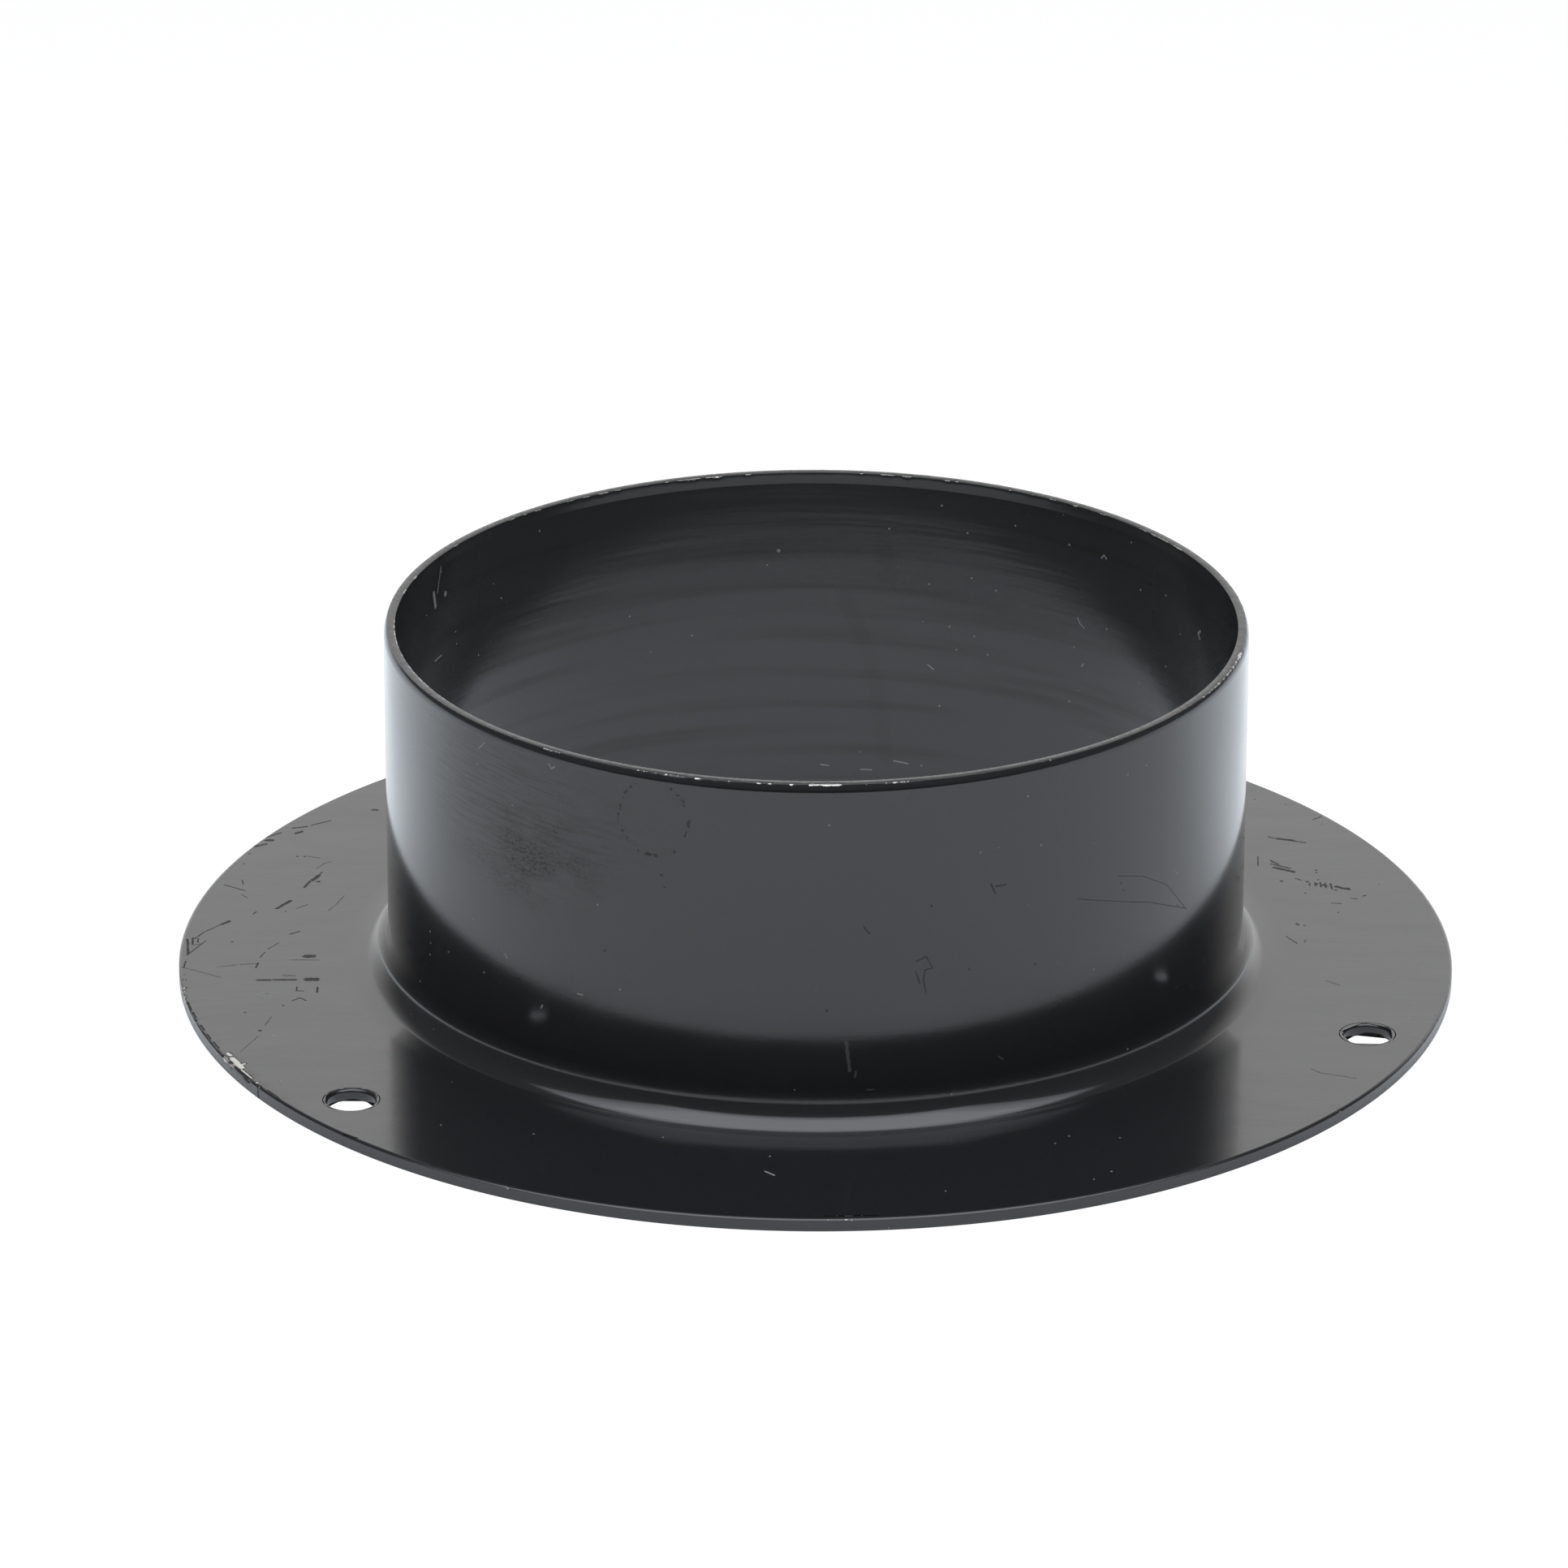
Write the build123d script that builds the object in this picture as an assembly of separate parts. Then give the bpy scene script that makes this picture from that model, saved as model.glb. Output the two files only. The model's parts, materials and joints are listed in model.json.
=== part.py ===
from build123d import *
import os

# Hose connector: one sheet-metal pressing, a round flange drawn up into a short open collar.
# Origin at the centre of the flange's underside, +Z along the collar, millimetres and degrees.

# Driving sizes of the collar
collar_diameter = 100.0
overall_height = 43.0
collar_wall = 1.2
rim_rollover_height = 0.75
rim_rollover_depth = 0.2

# Driving sizes of the flange
flange_width = 24.5
sheet_thickness = 1.5
root_radius = 3.5
edge_rollover_width = 0.6
edge_rollover_depth = 0.28

# Driving sizes of the screw holes
hole_diameter = 5.5
hole_count = 3
hole_edge_distance = 6.7
hole_rollover_width = 0.35
hole_rollover_depth = 0.2
first_hole_angle = -20.6

# How far the punch runs past each face of the sheet
punch_overrun = 1.0

# Sizes worked out from the driving ones
collar_radius = collar_diameter / 2
bore_radius = collar_radius - collar_wall
flange_radius = collar_radius + flange_width
hole_radius = hole_diameter / 2
bolt_circle_radius = flange_radius - hole_edge_distance


def round_corner(section, out, up, radius):
    """Round the corner of the section that lies so far out from the axis and so far up."""
    corner = section.vertices().sort_by_distance((out, up, 0))[0]
    fillet(corner, radius)


def sheet_section():
    """Half section: flange, root bend and drawn wall, each free edge sheared with a rollover."""
    rollover_start = overall_height - rim_rollover_height
    rim_edge = collar_radius - rim_rollover_depth
    edge_start = flange_radius - edge_rollover_width
    edge_top = sheet_thickness - edge_rollover_depth
    with BuildSketch(Plane.XZ) as section:
        with BuildLine():
            Polyline(
                (rim_edge, overall_height),
                (bore_radius, overall_height),
                (bore_radius, 0),
                (flange_radius, 0),
                (flange_radius, edge_top),
            )
            # Shearing pulls the near face down in a curve that leaves it smoothly
            TangentArc((edge_start, sheet_thickness), (flange_radius, edge_top), tangent=(1, 0))
            Polyline(
                (edge_start, sheet_thickness),
                (collar_radius, sheet_thickness),
                (collar_radius, rollover_start),
            )
            TangentArc((collar_radius, rollover_start), (rim_edge, overall_height), tangent=(0, 1))
        make_face()
        # The underside's bend is wider than the root by the wall, which thins as it is drawn
        round_corner(section, collar_radius, sheet_thickness, root_radius)
        round_corner(section, bore_radius, 0, root_radius + collar_wall)
    return section.sketch


def punched_slug():
    """What the punch takes out at a screw hole, with the rollover at its entry."""
    mouth_radius = hole_radius + hole_rollover_width
    mouth_bottom = sheet_thickness - hole_rollover_depth
    above = sheet_thickness + punch_overrun
    with BuildSketch(Plane.XZ) as outline:
        with BuildLine():
            Polyline(
                (0, above),
                (0, -punch_overrun),
                (hole_radius, -punch_overrun),
                (hole_radius, mouth_bottom),
            )
            TangentArc(
                (mouth_radius, sheet_thickness), (hole_radius, mouth_bottom), tangent=(-1, 0)
            )
            Polyline((mouth_radius, sheet_thickness), (mouth_radius, above), (0, above))
        make_face()
    return revolve(outline.sketch, axis=Axis.Z)


def flanged_collar():
    """The whole pressing, turned from its section and pierced by the ring of screw holes."""
    pressing = revolve(sheet_section(), axis=Axis.Z)
    hole_places = PolarLocations(bolt_circle_radius, hole_count, start_angle=first_hole_angle)
    return pressing - [place * punched_slug() for place in hole_places]


os.makedirs("parts", exist_ok=True)
export_step(flanged_collar(), "parts/flanged_collar.step")
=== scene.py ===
import json
import math

import bpy
import numpy as np
from mathutils import Matrix, Vector
from mathutils.geometry import delaunay_2d_cdt


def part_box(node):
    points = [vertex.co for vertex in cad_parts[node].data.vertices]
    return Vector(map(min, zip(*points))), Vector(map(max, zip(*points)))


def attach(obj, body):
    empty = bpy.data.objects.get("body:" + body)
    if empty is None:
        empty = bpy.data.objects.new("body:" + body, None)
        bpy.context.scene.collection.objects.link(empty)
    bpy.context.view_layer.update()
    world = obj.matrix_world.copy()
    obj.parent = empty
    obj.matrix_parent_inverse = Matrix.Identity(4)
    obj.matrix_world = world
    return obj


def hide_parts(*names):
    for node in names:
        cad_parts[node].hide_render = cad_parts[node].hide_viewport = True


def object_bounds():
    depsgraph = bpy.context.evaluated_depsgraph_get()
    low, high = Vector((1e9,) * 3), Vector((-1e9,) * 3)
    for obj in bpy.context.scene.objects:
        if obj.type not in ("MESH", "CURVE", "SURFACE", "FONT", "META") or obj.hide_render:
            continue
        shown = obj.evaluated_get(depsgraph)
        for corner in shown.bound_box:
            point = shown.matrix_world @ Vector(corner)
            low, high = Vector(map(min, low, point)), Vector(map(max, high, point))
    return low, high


# Hose connector: a black painted sheet-metal collar on a round flange, as it lies on a pale table.
# Sizes are millimetres in the part's own frame until a mesh is made, and metres after that.

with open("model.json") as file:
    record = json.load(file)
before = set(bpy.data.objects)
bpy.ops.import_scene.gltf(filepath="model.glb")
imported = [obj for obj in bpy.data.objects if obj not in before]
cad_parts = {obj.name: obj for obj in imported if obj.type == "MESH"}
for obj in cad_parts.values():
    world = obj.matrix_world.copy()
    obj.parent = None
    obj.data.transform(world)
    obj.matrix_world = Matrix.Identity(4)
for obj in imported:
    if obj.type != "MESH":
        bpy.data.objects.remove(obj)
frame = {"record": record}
cad_low, cad_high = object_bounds()

MM = 0.001
NODE = "flanged_collar"
BODY = "root"
SEED = 41

# Sizes read from the frame
mounts = {mount["name"]: mount for mount in frame["record"]["mounts"]}
spigot = mounts["hose_spigot"]
bore = mounts["duct_bore"]
holes = mounts["flange_holes"]


def span(mount):
    """Lowest and highest height that a round mount's straight part reaches."""
    middle = mount["pos_m"][2] / MM
    half = mount["dims"]["length_mm"] / 2
    return middle - half, middle + half


box_low, box_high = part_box(NODE)
FLANGE_RADIUS = box_high.x / MM
HEIGHT = box_high.z / MM
COLLAR_RADIUS = spigot["dims"]["r_mm"]
BORE_RADIUS = bore["dims"]["r_mm"]
WALL_FOOT, WALL_TOP = span(spigot)
UNDER_BEND = span(bore)[0]
SHEET = WALL_FOOT + COLLAR_RADIUS - BORE_RADIUS - UNDER_BEND
HOLE_RADIUS = holes["dims"]["hole_r_mm"]
HOLE_COUNT = holes["dims"]["count"]
BOLT_CIRCLE = holes["dims"]["pcd_mm"] / 2

# The root bend from the wall to the flange: each stretch's radius and the slope that it ends at
ROOT_BEND = ((8.3, 11), (3.5, 37), (4.2, 60), (1.4, 84.5), (28.0, 90))

# Sheared edges: how wide and how deep the sheet rolls over, and the radius of the paint on the corner
RIM_ROLLOVER = (1.05, 0.3)
EDGE_ROLLOVER = (0.42, 0.2)
HOLE_ROLLOVER = (0.42, 0.5)
HOLE_BREAK = (0.25, 0.7)
RIM_CORNER = 0.09
RIM_CROWN = math.radians(10)
EDGE_CORNER = 0.06
HOLE_CORNER = 0.05
FIRST_HOLE_ANGLE = math.radians(-20.6)

# The last stretch of the bore leans in under the rim
LEAN_START = 41.6
LEAN = 0.1
KINK = 0.15

# How finely the surfaces are divided
ROUND = 720
ROUND_FINE = 1440
ROUND_HOLE = 80
GUARD = 0.12
EDGE_MARGIN = 1.8


# The section

def station(place, normal):
    """A point of the section with the direction that its surface faces."""
    return np.array(place, float), np.array(normal, float)


def line(start, end, normal, steps):
    """Stations along a straight stretch, both ends included."""
    start, end = np.array(start, float), np.array(end, float)
    return [station(start + (end - start) * i / steps, normal) for i in range(steps + 1)]


def arc(centre, radius, first, last, steps, hollow=False):
    """Stations round an arc from one angle to another in degrees; a hollow one faces its centre."""
    stations = []
    for i in range(steps + 1):
        angle = math.radians(first + (last - first) * i / steps)
        out = np.array((math.cos(angle), math.sin(angle)))
        stations.append(station(np.array(centre) + radius * out, -out if hollow else out))
    return stations


def rollover(start, along, facing, size, corner, steps, corner_steps):
    """The curve of a sheared edge: it leaves the face smoothly, falls away and turns at a small corner."""
    width, depth = size
    start, along, facing = (np.array(v, float) for v in (start, along, facing))
    radius = (width * width + depth * depth) / (2 * depth)
    turn = math.asin((width - corner) / (radius - corner))
    centre = start - radius * facing
    inner = start + (width - corner) * along
    inner = inner - (radius - (radius - corner) * math.cos(turn)) * facing
    stations = []
    for i in range(steps + 1):
        out = math.sin(turn * i / steps) * along + math.cos(turn * i / steps) * facing
        stations.append(station(centre + radius * out, out))
    for i in range(1, corner_steps + 1):
        angle = turn + (math.pi / 2 - turn) * i / corner_steps
        out = math.sin(angle) * along + math.cos(angle) * facing
        stations.append(station(inner + corner * out, out))
    return stations


def rounded(corner, first, second, radius, steps):
    """A square corner with its paint's small radius, from the face of one direction to the other's."""
    first, second = np.array(first, float), np.array(second, float)
    centre = np.array(corner, float) - radius * (first + second)
    stations = []
    for i in range(steps + 1):
        angle = math.pi / 2 * i / steps
        out = math.cos(angle) * first + math.sin(angle) * second
        stations.append(station(centre + radius * out, out))
    return stations


def joined(*stretches):
    """Stretches one after another, with no station twice."""
    stations = list(stretches[0])
    for stretch in stretches[1:]:
        stations += stretch[1:]
    return stations


OUT, IN, UP, DOWN = (1, 0), (-1, 0), (0, 1), (0, -1)


def root_bend():
    """From the wall down a bend that is tightest just above the flange and eases into it."""
    slopes = [0.0] + [slope for _, slope in ROOT_BEND]
    turns = [(radius, slopes[i], slopes[i + 1]) for i, (radius, _) in enumerate(ROOT_BEND)]
    drops = [r * (math.sin(math.radians(b)) - math.sin(math.radians(a))) for r, a, b in turns]
    place = np.array((COLLAR_RADIUS, SHEET + sum(drops)))
    stretches = []
    for radius, low, high in turns:
        facing = np.array((math.cos(math.radians(low)), math.sin(math.radians(low))))
        centre = place + radius * facing
        stretches.append(arc(centre, radius, 180 + low, 180 + high, 4, hollow=True))
        place = stretches[-1][-1][0]
    return joined(*stretches)


def outer_wall():
    """From the flange's top up the root bend and the wall to just under the rim."""
    bend = root_bend()[::-1]
    foot, top = bend[0][0], bend[-1][0]
    return joined(
        line(foot + np.array((GUARD, 0)), foot, UP, 1),
        bend,
        line(top, (COLLAR_RADIUS, WALL_TOP - 1.0), OUT, 5),
    )


def rim():
    """From the wall over the sheared rim to the bore's edge."""
    start = COLLAR_RADIUS - RIM_ROLLOVER[1]
    end = BORE_RADIUS - LEAN + EDGE_CORNER
    crown_radius = (start - end) / 2 / math.sin(RIM_CROWN)
    shoulder = HEIGHT - crown_radius * (1 - math.cos(RIM_CROWN))
    lip_start = (COLLAR_RADIUS, shoulder - RIM_ROLLOVER[0])
    lip = rollover(lip_start, UP, OUT, RIM_ROLLOVER, RIM_CORNER, 6, 4)
    crown_centre = ((start + end) / 2, HEIGHT - crown_radius)
    tilt = math.degrees(RIM_CROWN)
    crown = arc(crown_centre, crown_radius, 90 - tilt, 90 + tilt, 5)
    inner_corner = rounded((BORE_RADIUS - LEAN, shoulder), UP, IN, EDGE_CORNER, 3)
    return joined(
        line((COLLAR_RADIUS, WALL_TOP - 1.0), lip_start, OUT, 2),
        lip[:-1],
        crown,
        inner_corner,
    )


def inner_wall():
    """From under the rim down the bore's wall and round the underside's wider bend."""
    top = rim()[-1][0]
    bend_centre = (BORE_RADIUS + UNDER_BEND, UNDER_BEND)
    tilt = math.atan2(LEAN, HEIGHT - LEAN_START)
    leaning = (-math.cos(tilt), -math.sin(tilt))
    return joined(
        line(top, (BORE_RADIUS, LEAN_START), leaning, 4),
        line((BORE_RADIUS, LEAN_START), (BORE_RADIUS, LEAN_START - KINK), IN, 1),
        line((BORE_RADIUS, LEAN_START - KINK), (BORE_RADIUS, UNDER_BEND), IN, 3),
        arc(bend_centre, UNDER_BEND, 180, 270, 10),
        line((bend_centre[0], 0), (bend_centre[0] + GUARD, 0), DOWN, 1),
    )


def flange_edge():
    """From the flange's top over its sheared edge to its underside."""
    start = FLANGE_RADIUS - EDGE_ROLLOVER[0]
    margin = FLANGE_RADIUS - EDGE_MARGIN
    lip = rollover((start, SHEET), OUT, UP, EDGE_ROLLOVER, EDGE_CORNER, 5, 3)
    foot = rounded((FLANGE_RADIUS, 0), OUT, DOWN, EDGE_CORNER, 2)
    return joined(
        line((margin, SHEET), (start, SHEET), UP, 1),
        lip,
        line(lip[-1][0], foot[0][0], OUT, 3),
        foot,
        line(foot[-1][0], foot[-1][0] - np.array((GUARD, 0)), DOWN, 1),
    )


def hole_edge():
    """From the flange's top into a screw hole and out at the underside, measured from the hole's axis."""
    start = HOLE_RADIUS + HOLE_ROLLOVER[0]
    lip = rollover((start, SHEET), IN, UP, HOLE_ROLLOVER, HOLE_CORNER, 6, 3)
    wider, break_height = HOLE_BREAK
    foot = rounded((HOLE_RADIUS + wider, 0), IN, DOWN, HOLE_CORNER, 3)
    sloping = np.array((-break_height, -wider)) / math.hypot(wider, break_height)
    return joined(
        line((start + GUARD, SHEET), (start, SHEET), UP, 1),
        lip,
        line(lip[-1][0], (HOLE_RADIUS, break_height), IN, 1),
        line((HOLE_RADIUS, break_height - 0.02), foot[0][0], sloping, 2),
        foot,
        line(foot[-1][0], foot[-1][0] + np.array((GUARD, 0)), DOWN, 1),
    )


# The mesh

class Surface:
    """Vertices, their true normals, and faces with the zone of the part that each belongs to."""

    def __init__(self):
        self.places = []
        self.normals = []
        self.faces = []
        self.zones = []

    def ring(self, at, count, centre=(0, 0)):
        """One station turned about an upright axis: returns its vertices' numbers in order."""
        (radius, height), (out, up) = at
        first = len(self.places)
        for i in range(count):
            angle = 2 * math.pi * i / count
            c, s = math.cos(angle), math.sin(angle)
            self.places.append((centre[0] + radius * c, centre[1] + radius * s, height))
            self.normals.append((out * c, out * s, up))
        return list(range(first, first + count))

    def face(self, corners, zone):
        self.faces.append(corners)
        self.zones.append(zone)

    def band(self, one, other, zone):
        """Faces between two rings, of as many vertices or twice as many."""
        if len(one) == len(other):
            for i in range(len(one)):
                j = (i + 1) % len(one)
                self.face((one[i], one[j], other[j], other[i]), zone)
            return
        coarse, fine = sorted((one, other), key=len)
        for i in range(len(coarse)):
            j = (i + 1) % len(coarse)
            a, b, c = fine[2 * i], fine[2 * i + 1], fine[(2 * i + 2) % len(fine)]
            self.face((coarse[i], a, b), zone)
            self.face((coarse[i], b, coarse[j]), zone)
            self.face((coarse[j], b, c), zone)

    def strip(self, stations, count, zone, first=None, centre=(0, 0)):
        """Rings for the stations, joined in order: returns the first and the last ring."""
        rings = [] if first is None else [first]
        for at in stations[len(rings):]:
            rings.append(self.ring(at, count, centre))
        for one, other in zip(rings, rings[1:]):
            self.band(one, other, zone)
        return rings[0], rings[-1]

    def flat(self, inner, outer, openings, zone_at):
        """The flat ring between two rings, pierced by the openings' rings."""
        loops = [inner, outer, *openings]
        numbers = [n for loop in loops for n in loop]
        points = [Vector(self.places[n][:2]) for n in numbers]
        edges = []
        first = 0
        for loop in loops:
            edges += [(first + i, first + (i + 1) % len(loop)) for i in range(len(loop))]
            first += len(loop)
        _, _, triangles, origins, _, _ = delaunay_2d_cdt(points, edges, [], 0, 1e-7)
        inner_radius = math.hypot(*self.places[inner[0]][:2]) * math.cos(math.pi / len(inner))
        for triangle in triangles:
            corners = [numbers[origins[n][0]] for n in triangle]
            middle = np.mean([self.places[n][:2] for n in corners], axis=0)
            in_hole = any(math.dist(middle, c) < HOLE_RADIUS for c in hole_centres())
            if math.hypot(*middle) > inner_radius and not in_hole:
                self.face(corners, zone_at(middle))


def hole_centres():
    """Where the screw holes' axes cross the flange."""
    turn = 2 * math.pi / HOLE_COUNT
    angles = [FIRST_HOLE_ANGLE + turn * i for i in range(HOLE_COUNT)]
    return [(BOLT_CIRCLE * math.cos(a), BOLT_CIRCLE * math.sin(a)) for a in angles]


ZONES = ["front_flange_paint", "left_flange_paint", "left_back_flange_paint", "right_flange_paint"]
ZONES += ["wall_paint", "rim_paint", "bore_paint", "edge_paint", "under_paint"]
FRONT_FLANGE, LEFT_FLANGE, LEFT_BACK_FLANGE, RIGHT_FLANGE = range(4)
WALL, RIM, BORE, EDGE, UNDER = range(4, 9)
SIDE_START = 45.0
LEFT_BACK_START = 0.134


def flange_zone(middle):
    """The part of the flange's top that a place lies in: each has its own marks."""
    if abs(middle[0]) < SIDE_START:
        return FRONT_FLANGE
    if middle[0] > 0:
        return RIGHT_FLANGE
    return LEFT_BACK_FLANGE if middle[1] > -LEFT_BACK_START * middle[0] else LEFT_FLANGE


def under_zone(middle):
    return UNDER


def pressing_surface():
    """The whole pressing's skin, ring by ring from the flange up, over the rim and down the bore."""
    skin = Surface()
    top_inner, wall_end = skin.strip(outer_wall(), ROUND, WALL)
    rim_stations = rim()
    rim_first = skin.ring(rim_stations[1], ROUND_FINE)
    skin.band(wall_end, rim_first, WALL)
    _, rim_end = skin.strip(rim_stations[1:], ROUND_FINE, RIM, rim_first)
    bore_stations = inner_wall()
    bore_first = skin.ring(bore_stations[1], ROUND)
    skin.band(rim_end, bore_first, BORE)
    _, under_inner = skin.strip(bore_stations[1:], ROUND, BORE, bore_first)
    top_outer, under_outer = skin.strip(flange_edge(), ROUND_FINE, EDGE)
    mouths = []
    feet = []
    for centre in hole_centres():
        mouth, foot = skin.strip(hole_edge(), ROUND_HOLE, EDGE, centre=centre)
        mouths.append(mouth)
        feet.append(foot)
    skin.flat(top_inner, top_outer, mouths, flange_zone)
    skin.flat(under_inner, under_outer, feet, under_zone)
    return skin


# Wear on the sheared edges

# Where paint has chipped off an edge, in millimetres round it to the right: start, end and strength
NEAR_RIM_CHIPS = (
    (-37.8, -37.0, 0.6), (-33.1, -30.4, 0.9), (-29.5, -28.4, 0.6), (-28.1, -27.5, 0.5), (-26.6, -25.8, 1),
    (-23.9, -23.3, 0.5), (-22.4, -21.9, 0.6), (-20.9, -20.2, 0.8), (-20.2, -19.1, 0.6), (-18.7, -17.9, 0.7),
    (-17.8, -16.9, 1), (-16.8, -14.6, 0.7), (-13.7, -12.7, 1), (-12.5, -11.1, 0.6), (-10, -9, 0.7),
    (-6.7, -6.1, 0.9), (-5.7, -4.6, 0.8), (-3.1, -2.3, 1), (-2.2, -1.6, 0.7), (-0.75, 2.9, 1.4),
    (7.6, 9.4, 0.8), (9.5, 12, 0.8), (18.3, 24, 0.4), (26.5, 26.9, 0.8), (27.5, 27.9, 0.9),
    (33, 36.5, 0.35), (38.8, 39.4, 0.5), (54, 69, 0.6), (67.5, 68.6, 1.2),
)
FAR_RIM_CHIPS = (
    (-70, -68.5, 0.7), (-65.2, -64, 0.7), (-53.4, -52.6, 0.7), (-42.3, -41.3, 0.6), (-40, -39.4, 0.6),
    (-38, -37, 0.6), (-33, -31.8, 0.7), (-30.5, -29.6, 0.8), (-28.4, -27, 0.7), (-25.9, -25.2, 0.6),
    (-22, -21.3, 0.6), (-19.2, -18.6, 0.6), (-17.6, -14.6, 1.2), (-13.9, -11.8, 1.2), (-8.8, -8.2, 0.8),
    (5.4, 5.8, 0.6), (7.9, 9.7, 0.8), (10.7, 11.7, 0.9), (16, 16.7, 0.8), (17.3, 17.8, 0.7),
    (24.6, 25, 0.6), (27, 28.2, 0.5), (30.4, 31.4, 0.5), (33.9, 34.7, 1.2), (38.2, 39.1, 0.6),
    (45.2, 46.4, 0.8), (47.4, 54.1, 0.7),
)
LEFT_BURR = (-78, -50, 0.9)
RIGHT_TEETH = (50, 95, 1.0)
FLANGE_CHIPS = (
    (-85, -81.2, 1.3), (-81, -75, 0.6), (-36, -35, 0.6), (-13.5, -12.7, 0.5), (-6.3, -5.8, 0.5),
    (0.5, 3, 0.45), (3, 6, 0.6), (6, 9, 0.45), (17, 18, 0.5), (21, 27, 0.35), (42.7, 43.4, 0.6),
    (68.2, 68.9, 0.7), (90.4, 91, 0.5), (96.3, 97, 0.5),
)
FLANGE_DENTS = (-108, -66, 1.0)

CHIP_DEPTH = 0.05
DENT_DEPTH = 0.06
RAGGEDNESS = 0.015


def between(places, chip, soft=0.25):
    """1 from the chip's start to its end and 0 beyond them, times its strength."""
    start, end, strength = chip
    inside = np.minimum((places - start) / soft, (end - places) / soft) + 0.5
    return strength * np.clip(inside, 0, 1)


def ragged(places, spacing, seed):
    """A number from -1 to 1 that wanders at random along an edge."""
    loop = 2 * math.pi * FLANGE_RADIUS
    count = round(loop / spacing)
    values = np.random.default_rng(seed).uniform(-1, 1, count)
    return np.interp(places, np.arange(count) * spacing - loop / 2, values, period=loop)


def close_to(radii, heights, radius, height, reach):
    """How close each vertex is to a circle round the axis: 1 on it and 0 from the reach on."""
    away = np.hypot(radii - radius, heights - height) / reach
    return np.clip(1 - away, 0, 1) ** 0.7


def edge_wear(skin):
    """How far each vertex is worn back along its normal, and how bare the steel is there."""
    x, y, z = np.array(skin.places).T
    radii = np.hypot(x, y)
    front = np.arctan2(x, -y)
    back = np.arctan2(x, y)
    near = COLLAR_RADIUS * front
    far = COLLAR_RADIUS * back
    edge = FLANGE_RADIUS * front
    coarse = ragged(near, 1.1, SEED)
    fine = ragged(near, 0.35, SEED + 1)
    outer = close_to(radii, z, COLLAR_RADIUS - RIM_ROLLOVER[1], HEIGHT, 0.3)
    inner = close_to(radii, z, BORE_RADIUS - LEAN, HEIGHT, 0.3)
    lip = close_to(radii, z, FLANGE_RADIUS - 0.1, SHEET - EDGE_ROLLOVER[1], 0.45)
    chips = sum(between(near, chip) for chip in NEAR_RIM_CHIPS) * outer
    chips += sum(between(far, chip) for chip in FAR_RIM_CHIPS) * inner
    chips += sum(between(edge, chip) for chip in FLANGE_CHIPS) * lip
    burr = between(near, LEFT_BURR) * inner * (0.5 + 0.5 * fine)
    teeth = between(near, RIGHT_TEETH, 3) * outer * (0.5 + 0.5 * fine)
    dents = between(edge, FLANGE_DENTS, 4) * lip * (0.5 + 0.5 * ragged(edge, 0.8, SEED + 2))
    shine = close_to(radii, z, BORE_RADIUS - LEAN, HEIGHT, 0.14) * (0.5 + 0.2 * fine)
    rim_grain = (outer + inner) * (0.5 + 0.3 * coarse + 0.2 * fine)
    depth = CHIP_DEPTH * chips * (0.8 + 0.4 * fine) + RAGGEDNESS * rim_grain
    depth += DENT_DEPTH * dents + CHIP_DEPTH * teeth
    bare = chips * (0.75 + 0.35 * fine) + 0.75 * burr + 0.35 * teeth + shine
    return depth, np.clip(bare, 0, 1)


def vertex_normals(mesh):
    """The mesh's own smooth normals, as an array."""
    normals = np.empty(len(mesh.vertices) * 3)
    mesh.vertex_normals.foreach_get("vector", normals)
    return normals.reshape(-1, 3)


def wear_edges(mesh, skin):
    """Move the worn vertices, mark the bare steel and turn the normals with the moved faces."""
    depth, bare = edge_wear(skin)
    true = np.array(skin.normals)
    before = vertex_normals(mesh)
    places = (np.array(skin.places) - depth[:, None] * true) * MM
    mesh.vertices.foreach_set("co", places.ravel())
    mesh.update()
    turned = true + vertex_normals(mesh) - before
    turned /= np.linalg.norm(turned, axis=1)[:, None]
    mesh.attributes.new("bare", "FLOAT", "POINT").data.foreach_set("value", bare)
    return turned


def make_pressing():
    """The shown piece, with its true normals."""
    skin = pressing_surface()
    mesh = bpy.data.meshes.new("dressed_collar")
    mesh.from_pydata([Vector(p) * MM for p in skin.places], [], skin.faces)
    for zone in ZONES:
        mesh.materials.append(MATERIALS[zone]())
    mesh.polygons.foreach_set("material_index", skin.zones)
    piece = bpy.data.objects.new("dressed_collar", mesh)
    bpy.context.scene.collection.objects.link(piece)
    outward(mesh, skin)
    normals = wear_edges(mesh, skin)
    mesh.polygons.foreach_set("use_smooth", [True] * len(mesh.polygons))
    mesh.normals_split_custom_set_from_vertices([Vector(n) for n in normals])
    return piece


def outward(mesh, skin):
    """Turn each face so that it faces as the section's normals do."""
    normals = np.array(skin.normals)
    for polygon in mesh.polygons:
        facing = normals[list(polygon.vertices)].sum(axis=0)
        if polygon.normal.dot(Vector(facing)) < 0:
            polygon.flip()
    mesh.update()


# Materials

def add_node(tree, kind, values=None, **settings):
    """A new node, with its settings made and its inputs set or joined."""
    node = tree.nodes.new(kind)
    for name, value in settings.items():
        setattr(node, name, value)
    for key, value in (values or {}).items():
        if isinstance(value, bpy.types.NodeSocket):
            tree.links.new(value, node.inputs[key])
        else:
            node.inputs[key].default_value = value
    return node


def maths(tree, operation, *values, clamp=False):
    """The result of one sum on numbers or sockets."""
    values = dict(enumerate(values))
    return add_node(tree, "ShaderNodeMath", values, operation=operation, use_clamp=clamp).outputs[0]


def vector_maths(tree, operation, *values, result=0):
    """The result of one sum on vectors."""
    values = dict(enumerate(values))
    return add_node(tree, "ShaderNodeVectorMath", values, operation=operation).outputs[result]


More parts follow.
